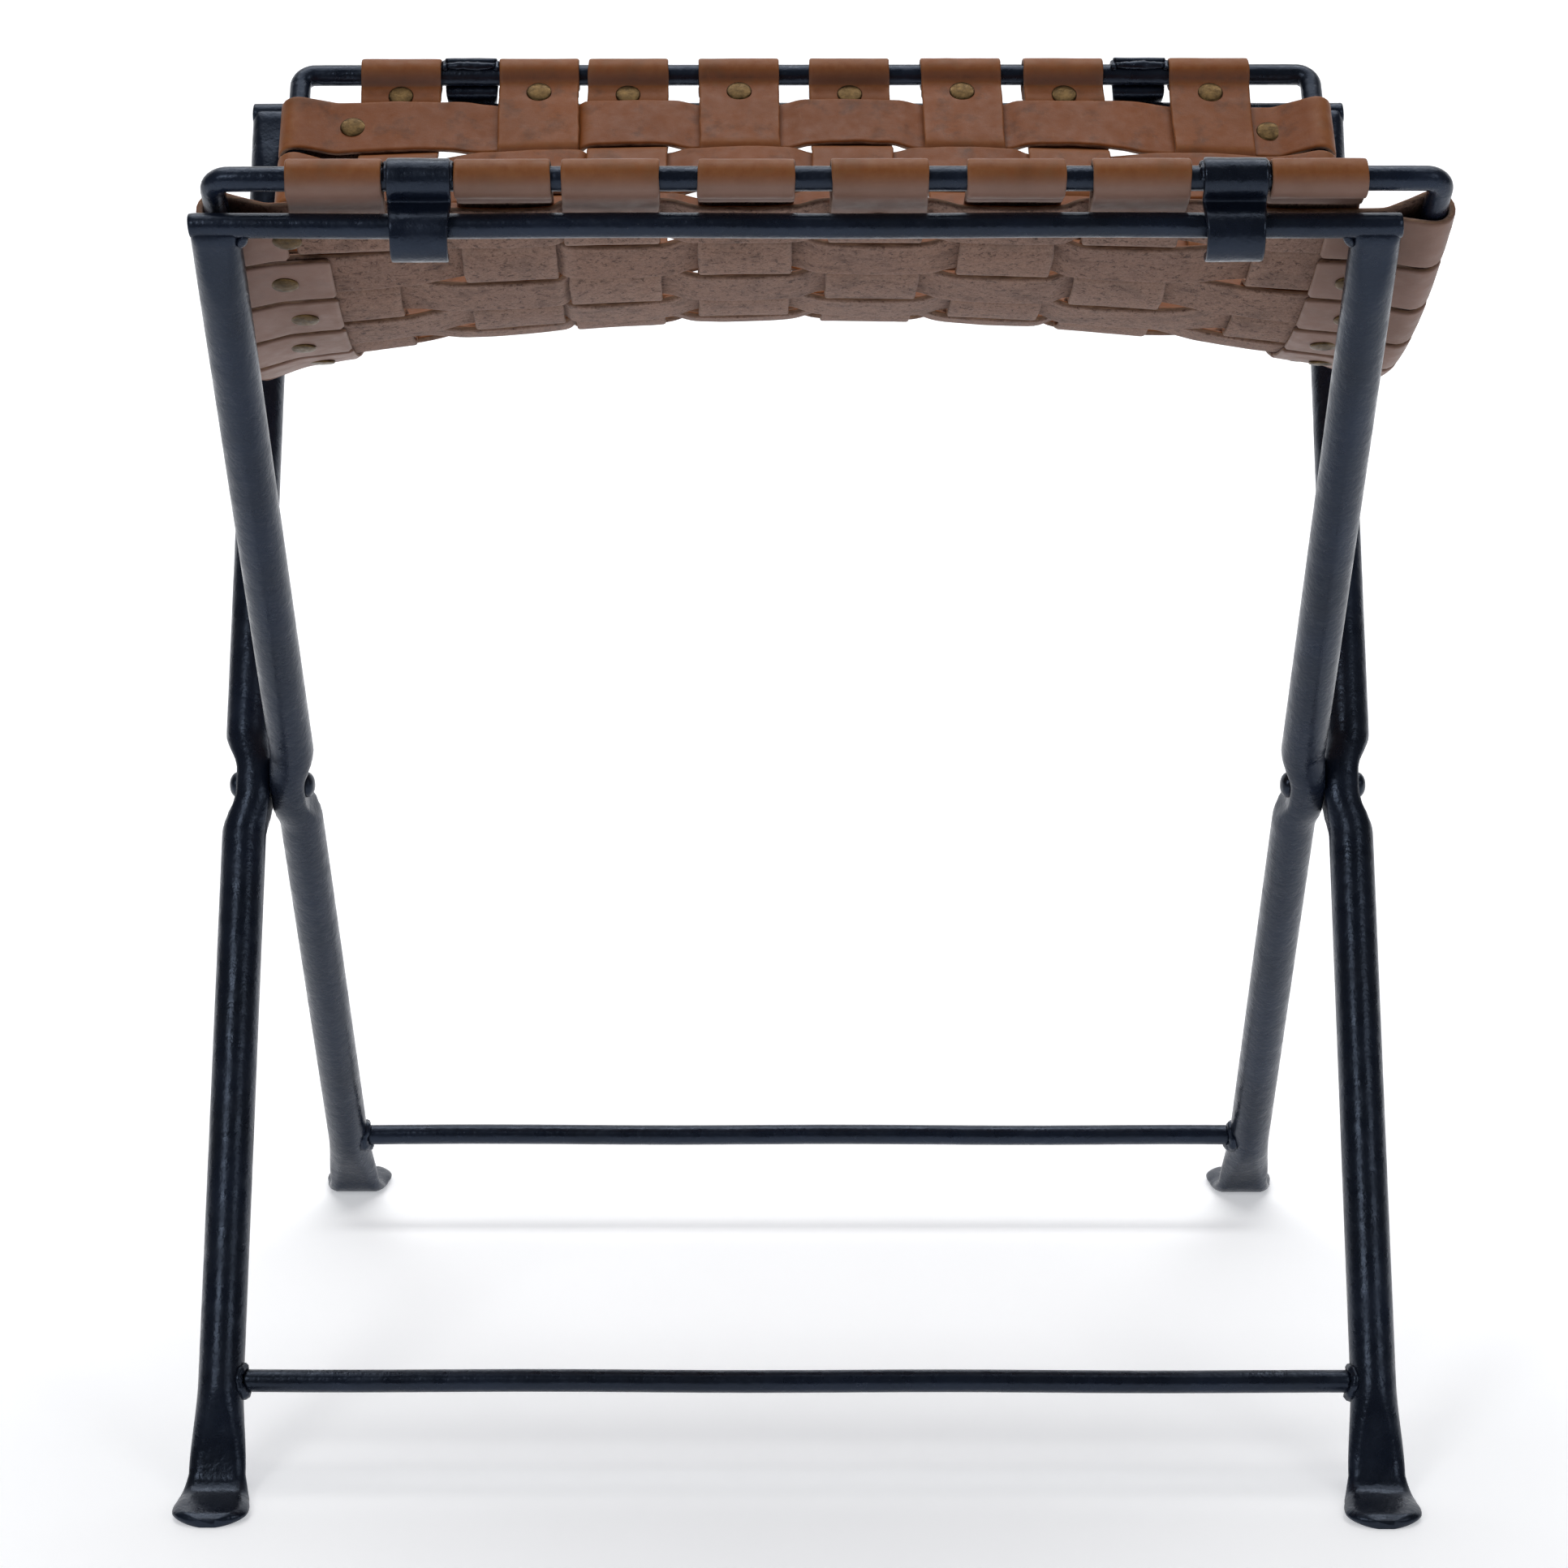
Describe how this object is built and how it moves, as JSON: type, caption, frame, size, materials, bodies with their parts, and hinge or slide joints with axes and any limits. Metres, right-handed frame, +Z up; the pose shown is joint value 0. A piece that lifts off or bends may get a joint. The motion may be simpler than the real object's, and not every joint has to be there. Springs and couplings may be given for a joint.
{
  "type": "folding magazine rack",
  "caption": "Folding magazine rack: crossed tube legs on riveted pivots and a hooked-on rod cradle woven with leather straps.",
  "frame": {"origin": "on the floor, midway between the feet", "axes": "+X along the rails, -Y is the front, +Z up"},
  "size_m": [0.5114, 0.3888, 0.5534],
  "materials": {
    "painted_iron": "satin",
    "tan_leather": "satin",
    "aged_brass": "satin"
  },
  "bodies": {
    "inner_frame": {"inner_leg_left": "painted_iron", "inner_leg_right": "painted_iron", "inner_top_rail": "painted_iron", "inner_stretcher": "painted_iron", "pivot_rivet_left": "painted_iron", "pivot_rivet_right": "painted_iron"},
    "outer_frame": {"outer_leg_left": "painted_iron", "outer_leg_right": "painted_iron", "outer_top_rail": "painted_iron", "outer_stretcher": "painted_iron"},
    "cradle": {"cradle_front_rail": "painted_iron", "cradle_back_rail": "painted_iron", "cradle_end_left": "painted_iron", "cradle_end_right": "painted_iron", "hook_front_left": "painted_iron", "hook_front_right": "painted_iron", "hook_back_left": "painted_iron", "hook_back_right": "painted_iron", "cross_strap_1": "tan_leather", "cross_strap_2": "tan_leather", "cross_strap_3": "tan_leather", "cross_strap_4": "tan_leather", "cross_strap_5": "tan_leather", "cross_strap_6": "tan_leather", "cross_strap_7": "tan_leather", "cross_strap_8": "tan_leather", "long_strap_1": "tan_leather", "long_strap_2": "tan_leather", "long_strap_3": "tan_leather", "long_strap_4": "tan_leather", "long_strap_5": "tan_leather", "long_strap_6": "tan_leather", "long_strap_7": "tan_leather", "long_strap_8": "tan_leather", "long_strap_9": "tan_leather", "long_strap_10": "tan_leather", "long_strap_11": "tan_leather", "front_rivet_1": "aged_brass", "front_rivet_2": "aged_brass", "front_rivet_3": "aged_brass", "front_rivet_4": "aged_brass", "front_rivet_5": "aged_brass", "front_rivet_6": "aged_brass", "front_rivet_7": "aged_brass", "front_rivet_8": "aged_brass", "back_rivet_1": "aged_brass", "back_rivet_2": "aged_brass", "back_rivet_3": "aged_brass", "back_rivet_4": "aged_brass", "back_rivet_5": "aged_brass", "back_rivet_6": "aged_brass", "back_rivet_7": "aged_brass", "back_rivet_8": "aged_brass"}
  },
  "joints": [
    {"name": "leg_fold", "type": "hinge", "parent": "inner_frame", "child": "outer_frame", "pos_m": [0, 0, 0.25861], "axis": [1, 0, 0], "range_deg": [0, 58]},
    {"name": "cradle_swing", "type": "hinge", "parent": "inner_frame", "child": "cradle", "pos_m": [0, -0.175, 0.528], "axis": [1, 0, 0], "range_deg": [0, 128]}
  ],
  "couplings": [
    {"joint": "cradle_swing", "follows": "leg_fold", "ratio": 2.2}
  ]
}
